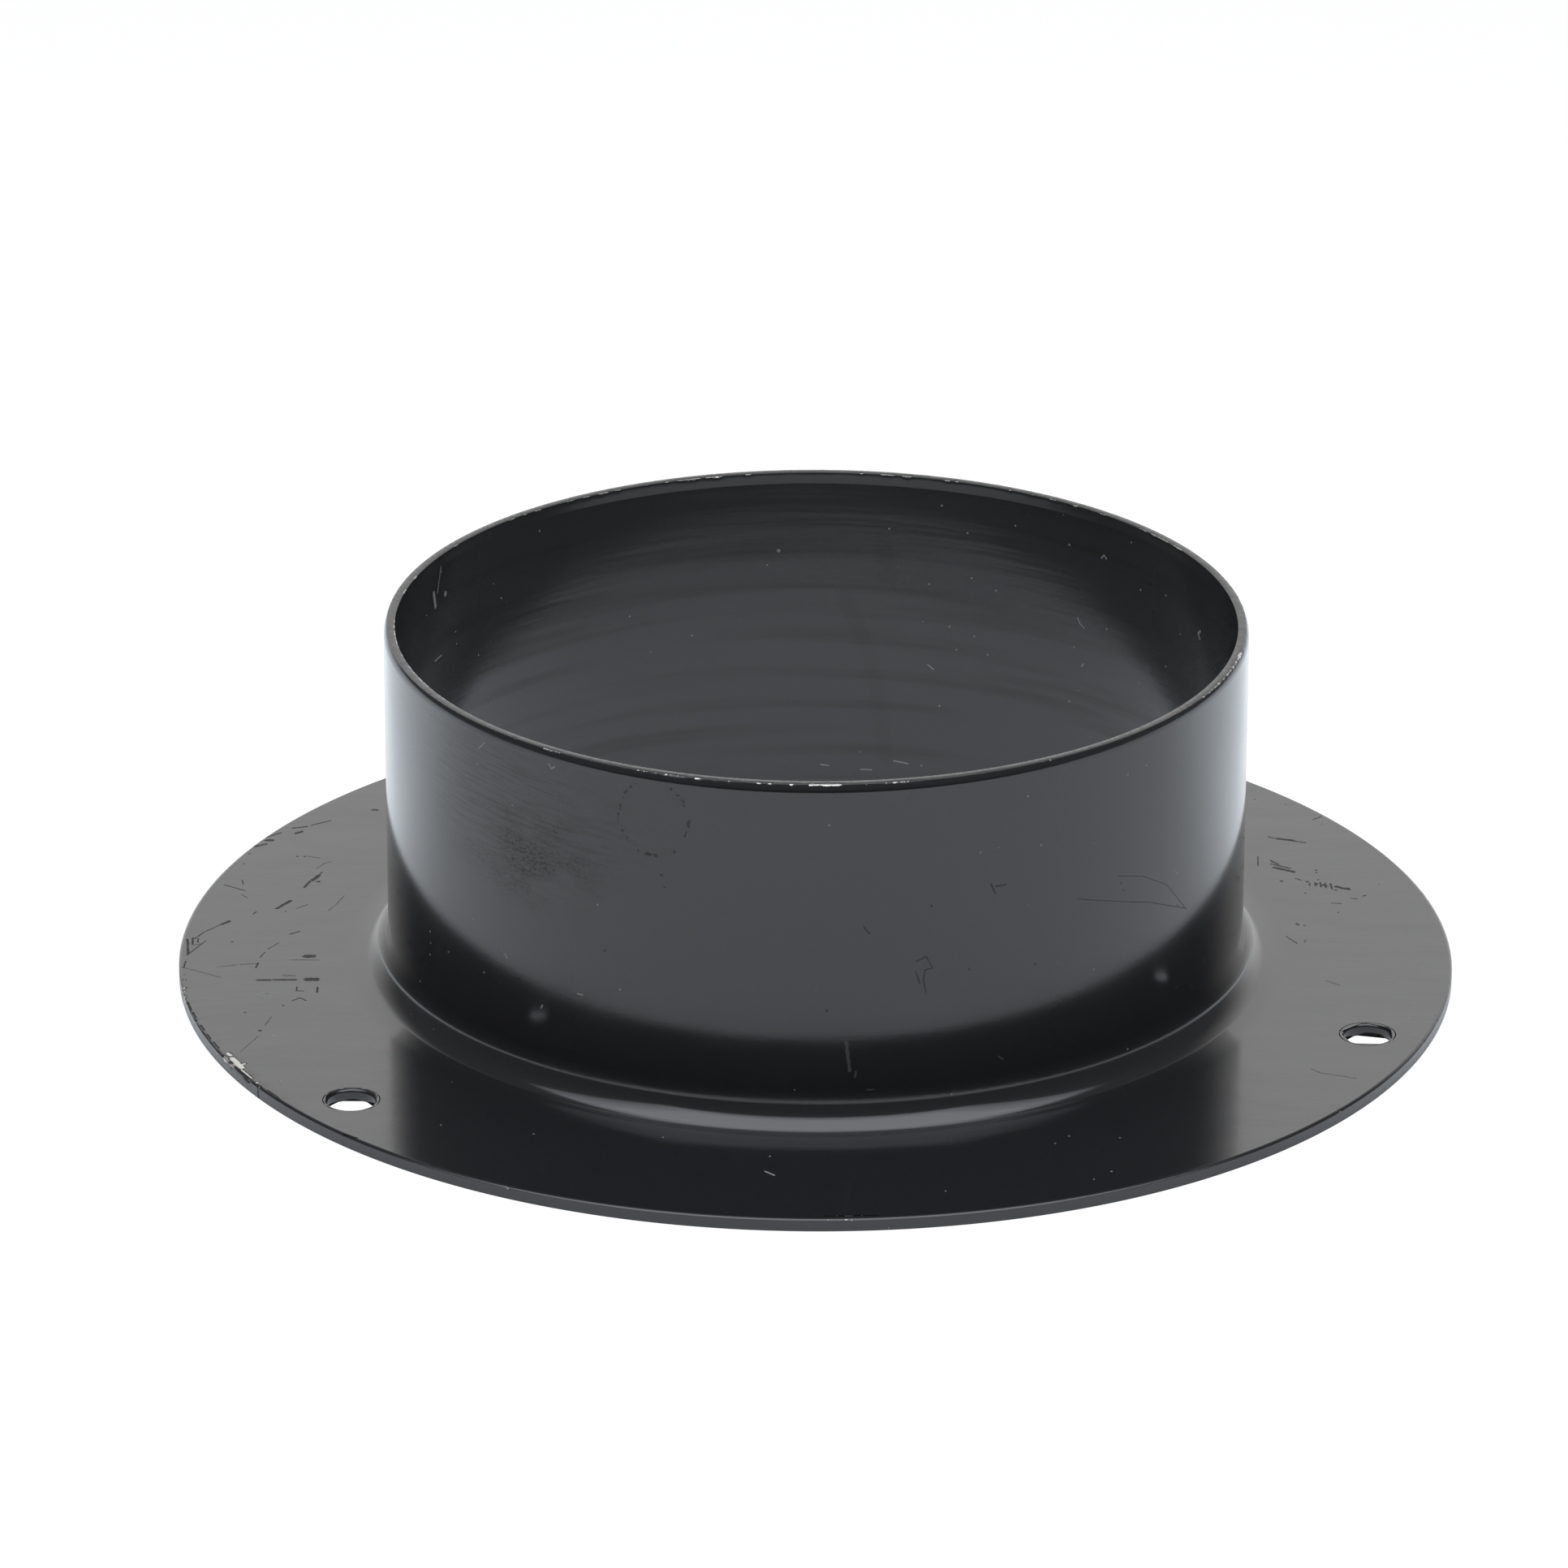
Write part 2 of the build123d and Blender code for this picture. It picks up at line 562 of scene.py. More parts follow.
def rise(tree, value, low, high, at_low=0.0, at_high=1.0):
    """Goes smoothly from one number to the other as the value goes from low to high."""
    values = {0: value, 1: low, 2: high, 3: at_low, 4: at_high}
    return add_node(tree, "ShaderNodeMapRange", values, interpolation_type="SMOOTHSTEP").outputs[0]


def blend(tree, share, one, other):
    """Between two numbers or sockets, by share."""
    return add_node(tree, "ShaderNodeMix", {0: share, 2: one, 3: other}).outputs[0]


def blend_colour(tree, share, one, other):
    """Between two colours, by share."""
    return add_node(tree, "ShaderNodeMix", {0: share, 6: one, 7: other}, data_type="RGBA").outputs[2]


def noise(tree, place, lumps, seed, detail=1.0):
    """Noise from 0 to 1, with so many lumps to the millimetre on each axis."""
    start = (1.37 * seed, 0.73 * seed + 0.4, 1.13 * seed + 0.2)
    moved = vector_maths(tree, "MULTIPLY_ADD", place, lumps, start)
    values = {"Vector": moved, "Scale": 1.0, "Detail": detail}
    return add_node(tree, "ShaderNodeTexNoise", values).outputs[0]


def specks(tree, place, spacing, size, share, seed):
    """Small round specks strewn at random: the share of the places this far apart that have one."""
    step = 1 / spacing
    moved = vector_maths(tree, "MULTIPLY_ADD", place, (step, step, step), (seed, seed, seed))
    cells = add_node(tree, "ShaderNodeTexVoronoi", {"Vector": moved, "Scale": 1.0}).outputs
    near = rise(tree, cells["Distance"], size * step, size * step * 0.5)
    chance = add_node(tree, "ShaderNodeSeparateColor", {0: cells["Color"]}).outputs[0]
    return maths(tree, "MULTIPLY", near, maths(tree, "LESS_THAN", chance, share))


def part_place(tree):
    """Where a point of the surface is, in the part's own frame and millimetres."""
    place = add_node(tree, "ShaderNodeTexCoord").outputs["Object"]
    scaled = add_node(tree, "ShaderNodeVectorMath", {0: place, "Scale": 1 / MM}, operation="SCALE")
    return scaled.outputs[0]


def unrolled(tree, radius, facing):
    """The wall rolled out flat: how far round to the right of its middle, how high and how far out."""
    place = part_place(tree)
    parts = add_node(tree, "ShaderNodeSeparateXYZ", {0: place}).outputs
    ahead = maths(tree, "MULTIPLY", parts["Y"], facing)
    angle = maths(tree, "ARCTAN2", parts["X"], ahead)
    along = maths(tree, "MULTIPLY", angle, radius)
    across = vector_maths(tree, "MULTIPLY", place, (1, 1, 0))
    out = vector_maths(tree, "LENGTH", across, result="Value")
    values = {"X": along, "Y": parts["Z"], "Z": out}
    return add_node(tree, "ShaderNodeCombineXYZ", values).outputs[0]


FRONT, BACK = -1.0, 1.0


def stroke_group():
    """A group that says how far a point is from one straight stroke, in half widths of the stroke."""
    group = bpy.data.node_groups.new("stroke", "ShaderNodeTree")
    for name in ("Place", "Start", "Run"):
        group.interface.new_socket(name, in_out="INPUT", socket_type="NodeSocketVector")
    for name in ("Run Share", "Half Width"):
        group.interface.new_socket(name, in_out="INPUT", socket_type="NodeSocketFloat")
    group.interface.new_socket("Reach", in_out="OUTPUT", socket_type="NodeSocketFloat")
    given = add_node(group, "NodeGroupInput").outputs
    away = vector_maths(group, "SUBTRACT", given["Place"], given["Start"])
    dot = vector_maths(group, "DOT_PRODUCT", away, given["Run"], result="Value")
    along = maths(group, "MULTIPLY", dot, given["Run Share"], clamp=True)
    nearest = add_node(group, "ShaderNodeVectorMath", {0: given["Run"], "Scale": along}, operation="SCALE")
    gap = vector_maths(group, "SUBTRACT", away, nearest.outputs[0])
    distance = vector_maths(group, "LENGTH", gap, result="Value")
    add_node(group, "NodeGroupOutput", {0: maths(group, "DIVIDE", distance, given["Half Width"])})
    return group


STROKE = stroke_group()


def reach(tree, flat_place, start, end, half_width):
    """How far a point is from a stroke or, where the stroke has no length, from a dot."""
    if start == end:
        size = 1 / half_width
        offset = (-start[0] * size, -start[1] * size, 0)
        away = vector_maths(tree, "MULTIPLY_ADD", flat_place, (size, size, 0), offset)
        return vector_maths(tree, "LENGTH", away, result="Value")
    run = (end[0] - start[0], end[1] - start[1], 0)
    share = 1 / (run[0] ** 2 + run[1] ** 2)
    stroke = tree.nodes.new("ShaderNodeGroup")
    stroke.node_tree = STROKE
    tree.links.new(flat_place, stroke.inputs["Place"])
    stroke.inputs["Start"].default_value = (*start, 0)
    stroke.inputs["Run"].default_value = run
    stroke.inputs["Run Share"].default_value = share
    stroke.inputs["Half Width"].default_value = half_width
    return stroke.outputs[0]


def marks(tree, place, given, seed, ragged_edge=1.6):
    """A mask of listed marks, each the points that it runs through and then its half width."""
    flat_place = vector_maths(tree, "MULTIPLY", place, (1, 1, 0))
    nearest = 9.0
    for *corners, half_width in given:
        ends = list(zip(corners[::2], corners[1::2]))
        for start, end in zip(ends, ends[1:] or ends):
            nearest = maths(tree, "MINIMUM", nearest, reach(tree, flat_place, start, end, half_width))
    grain = noise(tree, place, (3, 3, 3), seed, 2.0)
    nearest = maths(tree, "MULTIPLY_ADD", grain, ragged_edge, nearest)
    return rise(tree, nearest, 1.35 + ragged_edge / 2, 0.75 + ragged_edge / 2)


class Coat:
    """The look of one surface as layers go over it: each property is a constant or a socket."""

    def __init__(self, name, colour, roughness):
        self.material = bpy.data.materials.new(name)
        self.material.use_nodes = True
        self.tree = self.material.node_tree
        self.tree.nodes.clear()
        self.look = {"Base Color": colour, "Roughness": roughness, "Metallic": 0.0}
        self.height = None

    def cover(self, mask, **look):
        """Lay something over the coat where the mask says."""
        for key, value in look.items():
            name = {"colour": "Base Color", "roughness": "Roughness", "metal": "Metallic"}[key]
            mix = blend_colour if key == "colour" else blend
            self.look[name] = mix(self.tree, mask, self.look[name], value)

    def raise_by(self, depth, pattern):
        """Add a pattern from 0 to 1 to the relief, so many millimetres deep."""
        if self.height is None:
            self.height = maths(self.tree, "MULTIPLY", pattern, depth)
        else:
            self.height = maths(self.tree, "MULTIPLY_ADD", pattern, depth, self.height)

    def finish(self):
        """Join the layers to a shader: returns the material."""
        if self.height is not None:
            values = {"Strength": 1.0, "Distance": MM, "Height": self.height}
            self.look["Normal"] = add_node(self.tree, "ShaderNodeBump", values).outputs[0]
        shader = add_node(self.tree, "ShaderNodeBsdfPrincipled", {**self.look, **GLOSS})
        add_node(self.tree, "ShaderNodeOutputMaterial", {"Surface": shader.outputs[0]})
        return self.material


PAINT = (0.0142, 0.0147, 0.016, 1)
PAINT_ROUGHNESS = 0.12

# The gloss is sharp with a faint haze round it
GLOSS = {"IOR": 1.55, "Coat Weight": 0.08, "Coat Roughness": 0.4, "Coat IOR": 1.5}

# What lies on the paint or shows through it
DUST = {"colour": (0.22, 0.22, 0.21, 1), "roughness": 0.8}
SCUFF = {"colour": (0.032, 0.032, 0.03, 1), "roughness": 0.42}
CRACK = {"colour": (0.012, 0.012, 0.011, 1), "roughness": 0.5, "metal": 1.0}
STAIN = {"colour": (0.026, 0.022, 0.015, 1), "roughness": 0.34, "metal": 1.0}
STEEL = {"colour": (0.62, 0.61, 0.58, 1), "roughness": 0.32, "metal": 1.0}


def painted(name, place_of, seed, waves=0.012, peel=0.0025, grain=(1.2, 2.2, 1.2), colour=PAINT):
    """The black paint that every face has: slightly wavy, finely grained and a little dusty."""
    coat = Coat(name, colour, PAINT_ROUGHNESS)
    tree = coat.tree
    place = place_of(tree)
    broad = noise(tree, place, (0.08, 0.14, 0.08), seed)
    fine = noise(tree, place, grain, seed + 1, 2.0)
    coat.raise_by(waves, broad)
    coat.raise_by(peel, fine)
    gloss = rise(tree, broad, 0.25, 0.75, PAINT_ROUGHNESS - 0.012, PAINT_ROUGHNESS + 0.018)
    coat.look["Roughness"] = gloss
    film = noise(tree, place, (0.05, 0.35, 0.05), seed + 2, 3.0)
    coat.cover(maths(tree, "MULTIPLY", rise(tree, film, 0.5, 0.8), 0.25), roughness=0.24)
    coat.cover(specks(tree, place, 2.6, 0.09, 0.2, seed + 3), **DUST)
    coat.cover(specks(tree, place, 1.9, 0.08, 0.12, seed + 4), **SCUFF)
    return coat, place


def bare_steel(coat, place, seed):
    """The steel where the edge's paint is gone, broken up by a fine grain."""
    tree = coat.tree
    bare = add_node(tree, "ShaderNodeAttribute", attribute_name="bare").outputs["Fac"]
    grain = noise(tree, place, (4.5, 4.5, 4.5), seed, 2.0)
    showing = maths(tree, "MULTIPLY_ADD", grain, 0.9, bare)
    coat.cover(rise(tree, showing, 0.92, 1.12), **STEEL)


def from_front(tree):
    return unrolled(tree, COLLAR_RADIUS, FRONT)


def from_back(tree):
    return unrolled(tree, BORE_RADIUS, BACK)


# Marks on the wall, in millimetres to the right of its front and up
WALL_DUST = (
    (-53.1, 40.8, 0.12), (-43.3, 38.2, 0.12), (-45.4, 36.1, 0.1), (-49.5, 35.6, 0.1),
    (-32, 41.4, -31.6, 40.9, -31.1, 41.3, 0.07), (-43, 40.2, -42, 41.2, 0.06), (-54.3, 41.2, 0.1),
    (-37.5, 34.9, 0.1), (-25.5, 25.8, 0.1), (-44.5, 18.8, 0.12), (-39.5, 16.6, 0.1),
    (-39, 16.3, -38.6, 15.8, 0.08), (-28.2, 14.3, -27.6, 14.3, 0.1), (-22.7, 16, 0.1),
    (-49.6, 12.9, 0.1), (-54, 13.8, 0.1), (-53.9, 12.4, 0.1), (-54.1, 10.9, 0.1), (-57, 6.4, 0.12),
    (-42.6, 12.8, 0.1), (-33.4, 11.2, -33.2, 11.6, 0.08), (1.5, 38.2, 0.1), (18.8, 33.5, 0.1),
    (24.6, 39.3, 0.1), (26.4, 33, 0.1), (38.8, 38.5, 0.12), (41.9, 38.7, 0.1), (34, 16, 0.1),
    (51.7, 36, 0.12), (47.7, 23.9, 48.1, 23.4, 48.4, 23.8, 0.06), (15.6, 4.5, 0.1), (39.4, 4.6, 0.1),
)
WALL_SCRATCHES = (
    (3.5, 11.8, 3.9, 8.3, 0.18), (4.6, 8.2, 4.5, 7.5, 0.1), (5.9, 5.9, 6.6, 5.9, 0.1),
    (21.3, 8.2, 21.8, 7.8, 0.08), (9.8, 40.3, 10.6, 41.3, 0.05), (10.2, 41, 11.5, 41, 0.05),
    (29, 41.5, 30.5, 41.5, 0.07), (48.5, 9.2, 0.1), (52, 8, 0.1), (55, 10.2, 0.1),
)
WALL_CRACKS = (
    (-17.5, 30.8, 0.15), (-17.2, 29.4, 0.1), (-24.6, 20.4, 0.12), (-17.8, 42, -16.6, 42, 0.1),
    (20.1, 29.5, 20.7, 28.2, 0.1), (20.8, 29.1, 22, 29.1, 0.1), (13.1, 27.8, 0.12),
    (5.4, 25.8, 6, 25, 0.08), (11.3, 20, 11.8, 18.5, 0.06),
    (11.4, 21.2, 12.5, 21.7, 13.3, 20.2, 12.4, 20.1, 12.2, 19, 12.5, 17.3, 0.07),
    (17.6, 19.5, 0.15), (1.3, 15.7, 0.12), (25.8, 18.7, 0.12), (38, 25.5, 0.15), (38.4, 24.5, 0.12),
    (48.3, 19.4, 0.12), (31.5, 25.3, 36, 23.9, 43, 21.6, 50, 18.5, 0.05),
    (37.5, 26.5, 41.5, 25.3, 46, 22.8, 50.3, 18.2, 0.05),
)
SMUDGE = (-35, 29.5)
SMUDGE_SIZE = (11, 7)
WIPED = (-38, 34)
WIPED_SIZE = (24, 11)
WIPED_SLANT = 0.06
RING_STAIN = (-18.5, 37.6)
RING_STAIN_SIZE = (4.2, 4.5)


def scaled_distance(tree, place, middle, size):
    """How far a point is from the middle of an oval, as a share of the oval's size."""
    lumps = (1 / size[0], 1 / size[1], 0)
    offset = (-middle[0] / size[0], -middle[1] / size[1], 0)
    away = vector_maths(tree, "MULTIPLY_ADD", place, lumps, offset)
    return vector_maths(tree, "LENGTH", away, result="Value")


def smudges(coat, place):
    """A brownish dotted smudge and the faint ring that something left beside it."""
    tree = coat.tree
    slanted = add_node(tree, "ShaderNodeVectorRotate", {"Vector": place, "Angle": WIPED_SLANT}).outputs[0]
    dots = rise(tree, noise(tree, slanted, (1.8, 4.0, 1.8), SEED + 5, 3.0), 0.45, 0.62)
    patches = rise(tree, noise(tree, slanted, (0.14, 0.22, 0), SEED + 4, 2.0), 0.35, 0.6)
    area = rise(tree, scaled_distance(tree, place, SMUDGE, SMUDGE_SIZE), 1.3, 0.2)
    dotted = maths(tree, "MULTIPLY_ADD", dots, 0.5, 0.15)
    coat.cover(maths(tree, "MULTIPLY", maths(tree, "MULTIPLY", area, patches), dotted), **STAIN)
    lines = rise(tree, noise(tree, slanted, (0.22, 3.0, 0), SEED + 5, 2.0), 0.42, 0.68)
    area = rise(tree, scaled_distance(tree, place, WIPED, WIPED_SIZE), 1.2, 0.2)
    coat.cover(maths(tree, "MULTIPLY", area, maths(tree, "MULTIPLY", lines, 0.25)), **STAIN)
    oval = scaled_distance(tree, place, RING_STAIN, RING_STAIN_SIZE)
    off_ring = maths(tree, "ABSOLUTE", maths(tree, "SUBTRACT", oval, 1.0))
    spots = rise(tree, noise(tree, place, (1.6, 1.6, 0), SEED + 3, 2.0), 0.5, 0.62)
    ring = maths(tree, "MULTIPLY", rise(tree, off_ring, 0.08, 0.02), spots)
    coat.cover(maths(tree, "MULTIPLY", ring, 0.7), **STAIN)


def drawn_streaks(coat, place):
    """Fine level streaks that the drawing tool left round the top of the wall."""
    tree = coat.tree
    height = add_node(tree, "ShaderNodeSeparateXYZ", {0: place}).outputs["Y"]
    lines = noise(tree, place, (0.06, 3.5, 0), SEED + 6, 3.0)
    near_top = rise(tree, height, 24.0, 40.0, 0.0, 0.0025)
    coat.raise_by(near_top, lines)
    worn = maths(tree, "MULTIPLY", rise(tree, lines, 0.5, 0.72), rise(tree, height, 28.0, 40.0, 0.0, 0.4))
    coat.cover(worn, roughness=0.24)


def wall_paint():
    coat, place = painted("wall_paint", from_front, SEED)
    drawn_streaks(coat, place)
    smudges(coat, place)
    cracks = marks(coat.tree, place, WALL_CRACKS, SEED + 7)
    coat.cover(maths(coat.tree, "MULTIPLY", cracks, 0.55), **CRACK)
    coat.cover(marks(coat.tree, place, WALL_SCRATCHES, SEED + 8), **SCUFF)
    coat.cover(marks(coat.tree, place, WALL_DUST, SEED + 9, 0.5), **DUST)
    return coat.finish()


# Marks on the flange's top, in the part's own x and y
FRONT_DUST = (
    (-5.5, -62, -4.5, -63, 0.12), (-5, -58, 0.12), (1, -54.3, 1.8, -53.8, 2.5, -54.1, 0.07),
    (-7.3, -50.6, -6.6, -51, -7, -51.5, 0.07), (28.5, -52.3, 0.1), (34.2, -52.7, 0.1),
    (26.9, -54.3, 0.1), (-17, -53, 0.1), (14.5, -67, 0.1), (33, -61.7, 0.12), (31, -63.8, 0.1),
    (-42, -49.9, 0.1), (-31.5, -52.2, 0.1),
)
FRONT_RUBS = ((16.5, -52.6, 17.5, -49, 0.15),)
LEFT_DUST = (
    (-62.2, -25.5, 0.12), (-54.2, -17.4, 0.1), (-52.3, -33, 0.1), (-60.6, -38, 0.12),
    (-58.3, -37.5, 0.1), (-54.3, -45.7, 0.12), (-64.6, -13.8, -64.2, -13.1, -63.6, -13.2, 0.07),
    (-62.4, -25.1, -61.8, -25.4, 0.07),
)
LEFT_BACK_DUST = ((-57.3, 14.6, 0.12), (-57.1, 13.4, 0.08))
LEFT_RUBS = (
    (-61.8, -8.2, -60.8, -8.2, 0.3), (-63.5, -13.5, 0.2), (-52.9, -51, -52.1, -51.4, 0.3),
)
LEFT_CRACKS = (
    (-73.8, 2.4, -73.6, 0.2, 0.14), (-73.2, 2.8, -73.1, 0.8, 0.12), (-72.6, 2.6, -72.5, 1.4, 0.1),
    (-73.6, -0.2, -73.4, -2, 0.16), (-72.9, 0.6, -72.1, 1.1, 0.07), (-71.6, 2, -73.6, -2.4, 0.08),
    (-69.8, -5.7, -67.6, -5.1, 0.07), (-67.2, -5, -65.2, -4.7, 0.07), (-74, -5.8, -72, -7, 0.07),
    (-72, -7, -69.2, -8.8, 0.06),
    (-73, 2.5, -72, 4.5, -70, 7, -69.2, 7.8, 0.09), (-70, 6.9, -69.2, 7.8, 0.22), (-68.5, 1.7, 0.15),
    (-61.8, 4, -60.8, 4.8, 0.12), (-63, 1.5, -64.2, -0.5, 0.07), (-64.5, -1.4, -65, -3, 0.07),
    (-65.1, -4.6, -65.3, -5.8, 0.12),
    (-59.6, -2.5, -58.8, -2.5, 0.4), (-61.4, -3.6, -58, -3.6, 0.07), (-64.9, -9.5, -63.5, -9.5, 0.22),
    (-63, -9.4, -60.5, -9.4, 0.22), (-59, -9.2, -58.2, -9.2, 0.5), (-60.2, -11.4, -60.2, -12.6, 0.1),
    (-60.2, -12.6, -59.4, -12.6, 0.1), (-57.8, -11.5, -57.8, -13, 0.12),
    (-60.5, -15.4, -59.7, -14.6, -58.9, -15.4, 0.1), (-61.5, -16.8, 0.15), (-65.8, -18.8, 0.15),
    (-62.7, -20, -63.3, -22.5, 0.05), (-63.8, -24, 0.2), (-63.9, -25.5, -65.7, -30, 0.045),
    (-52.8, -52.3, -51.3, -53.5, 0.15),
)
LEFT_BACK_CRACKS = (
    (-53.8, 42.1, -53.3, 42.1, 0.2), (-63.2, 36.3, -61.5, 36.8, 0.15),
    (-61, 37.2, -58.8, 38.7, 0.12), (-62.7, 34.7, -62.1, 35.2, 0.25), (-66.2, 33.5, -64.6, 34.8, 0.12),
    (-66.1, 32.5, -65.6, 32.5, 0.3), (-67.5, 30.5, -66.2, 31.3, 0.2), (-68, 28.3, 0.15),
    (-68.5, 25.2, 0.15), (-62.2, 27.5, 0.15), (-61.3, 27.5, 0.15), (-61, 27.6, -59.5, 27, 0.06),
    (-59.7, 23.8, -58.8, 25.5, -58, 25.9, 0.05), (-60.9, 18, -60.3, 19.9, 0.16),
    (-60, 20.2, -59.4, 21.6, 0.26), (-59.4, 21.6, -59, 22.7, 0.1), (-59.3, 19.8, 0.26),
    (-70.4, 18.7, -67.9, 17, 0.1), (-68.4, 20.2, -68.2, 18.8, 0.07), (-68.2, 15.8, -67.5, 14.8, 0.06),
    (-63.8, 11.6, -62.3, 14, 0.22), (-66.5, 10, -66.2, 10.6, 0.1), (-62.7, 10.8, 0.13),
    (-61.4, 11.7, -60.2, 12.9, 0.07), (-57.7, 11, -56.8, 13, -56, 15.6, 0.05),
)
RIGHT_CRACKS = (
    (56.8, 8.1, 57, 7.7, 0.14), (57.7, 7.5, 0.15), (55.4, 4.3, 56.6, 2.2, 0.08), (57.6, 3.2, 0.12),
    (57.5, 2.6, 0.12), (59.5, -8.7, 61, -10, 0.06), (56.5, -33.7, 57.5, -34.8, 61.5, -36.3, 0.06),
    (54.6, 34.6, 55.5, 34, 59, 32.8, 0.13), (55.6, 34, 57.5, 33.5, 0.24), (60.3, 40, 61.3, 41, 0.09),
    (61.3, 38.6, 0.1), (53.5, 46.3, 0.12), (57.2, 44.7, 0.1), (53, 25.6, 53.1, 28.5, 0.07),
    (54.6, 27.2, 55.5, 26, 0.13), (55, 25, 57.2, 23.8, 0.27), (59.9, 24.3, 0.15), (59.9, 23.6, 0.15),
    (57.3, 21.8, 58, 21.2, 0.1), (58.7, 20.8, 0.22), (59.7, 20.1, 0.24), (60.3, 19.9, 60.9, 19.5, 0.2),
    (62.1, 19.3, 62.6, 18.9, 63.4, 18.6, 0.3), (61.9, 18.2, 0.2), (60, 21.4, 0.14), (55.6, 20.9, 0.24),
    (58.9, 20.4, 58.9, 19.6, 0.1), (59.6, 20.5, 59.6, 19.4, 0.1), (60.2, 20.6, 60.2, 19.2, 0.1),
    (60.8, 20.4, 60.8, 18.9, 0.1), (61.4, 20.2, 61.5, 18.6, 0.12), (54.6, 26.2, 56.8, 24.8, 0.14),
    (58.3, 17.3, 0.12), (65.1, 16.5, 65.4, 16.7, 0.12), (63.7, 15.8, 64.3, 15.6, 0.1),
    (61.3, 14.3, 62.3, 14.2, 0.1), (61.9, 11.5, 0.12), (67.2, 20, 0.1), (72.2, 17.2, 0.12),
)
RIGHT_DUST = (
    (58.2, -12.5, 0.1), (68.4, -19.2, 0.1), (49.5, -58, 50.5, -57.2, 0.07), (63.2, -24, 0.12),
    (63.8, 37.2, 0.12),
)


def flange_base(name):
    """The flange's paint without marks: soft waves and a fine level grain."""
    coat, place = painted(name, part_place, SEED + 10, waves=0.045)
    coat.raise_by(0.008, noise(coat.tree, place, (0.25, 0.9, 0), SEED + 14, 3.0))
    return coat, place


def flange_paint(name, cracks, rubs, dust):
    """The paint on the flange's top, with one part's marks."""
    coat, place = flange_base(name)
    if rubs:
        coat.cover(marks(coat.tree, place, rubs, SEED + 11), **SCUFF)
    if cracks:
        coat.cover(marks(coat.tree, place, cracks, SEED + 12), **CRACK)
    coat.cover(marks(coat.tree, place, dust, SEED + 13, 0.5), **DUST)
    return coat.finish()


def front_flange_paint():
    return flange_paint("front_flange_paint", (), FRONT_RUBS, FRONT_DUST)


def left_flange_paint():
    return flange_paint("left_flange_paint", LEFT_CRACKS, LEFT_RUBS, LEFT_DUST)


def left_back_flange_paint():
    return flange_paint("left_back_flange_paint", LEFT_BACK_CRACKS, (), LEFT_BACK_DUST)


def right_flange_paint():
    return flange_paint("right_flange_paint", RIGHT_CRACKS, (), RIGHT_DUST)


# Marks in the bore, in millimetres to the right of its back and up
BORE_DUST = (
    (-57.3, 38.8, -56.9, 37, 0.25), (-54.3, 37.7, 0.3), (-56.3, 38.5, -55.3, 41.5, 0.07),
    (-55.2, 40.8, 0.1), (-59.5, 36.8, 0.1), (-57.2, 30.2, -55.5, 30.3, 0.08), (-42.8, 33.4, 0.1),
    (-52, 32.1, 0.1), (-51.8, 30.5, 0.1), (-47.2, 27.5, 0.1), (-23.4, 26.4, 0.1), (-4.6, 32.9, 0.2),
    (-6, 31.1, 0.1), (-15.3, 22.7, 0.1), (-36.3, 40.2, 0.1), (15.3, 39.6, 0.1), (18.6, 36.5, 0.1),
    (8.8, 36, 0.1), (24.9, 38.5, 0.1), (32.6, 37.7, 0.12), (37.6, 37.3, 38, 37.8, 38.4, 37.4, 0.08),
    (42.6, 40.7, 0.1), (44.4, 35.2, 0.12), (49.4, 36.1, 0.12), (57.8, 34.5, 57.2, 34, 57.7, 33.5, 0.14),
    (52.7, 32.3, 0.1), (49.6, 27.1, 0.1), (19.2, 30.8, 0.12), (22.4, 29.7, 0.12), (13.8, 29.3, 0.1),
    (34, 28.7, 34.4, 28, 35, 27.6, 0.07), (38.6, 28.5, 0.1), (16.4, 24.1, 0.1), (19.6, 23.3, 0.1),
    (21.4, 21.2, 0.1), (17.3, 21.2, 0.12), (13.7, 18.8, 14.4, 18.3, 0.08), (32.9, 17.6, 0.1),
    (35, 23, 34.7, 22.6, 0.09), (15.2, 13.6, 0.1), (33.5, 24.8, 0.1), (9.5, 5.8, 11.3, 5.6, 0.07),
    (5.5, 4.4, 6.8, 4.4, 0.07), (0.6, 4.9, 1.5, 4.8, 0.07), (13, 5.5, 0.1),
)
BORE_STAINS = (
    (9, 32, 0.5), (3.5, 27, 5, 23, 6.5, 19, 7.5, 14, 8.5, 6, 0.9), (8, 34, 8.4, 30, 1.2),
)


DUSTY_PAINT = (0.023, 0.0234, 0.0242, 1)


def bore_paint():
    coat, place = painted("bore_paint", from_back, SEED + 20, grain=(1.2, 1.6, 1.2), colour=DUSTY_PAINT)
    tree = coat.tree
    bands = noise(tree, place, (0.02, 0.45, 0), SEED + 21, 3.0)
    coat.raise_by(0.02, bands)
    coat.cover(maths(tree, "MULTIPLY", rise(tree, bands, 0.45, 0.75), 0.3), **STAIN)
    stains = marks(tree, place, BORE_STAINS, SEED + 22, 3.0)
    coat.cover(maths(tree, "MULTIPLY", stains, 0.08), **STAIN)
    coat.cover(marks(tree, place, BORE_DUST, SEED + 23, 0.5), **DUST)
    bare_steel(coat, place, SEED + 24)
    return coat.finish()


SHEARED = {"colour": (0.024, 0.025, 0.023, 1), "roughness": 0.3}


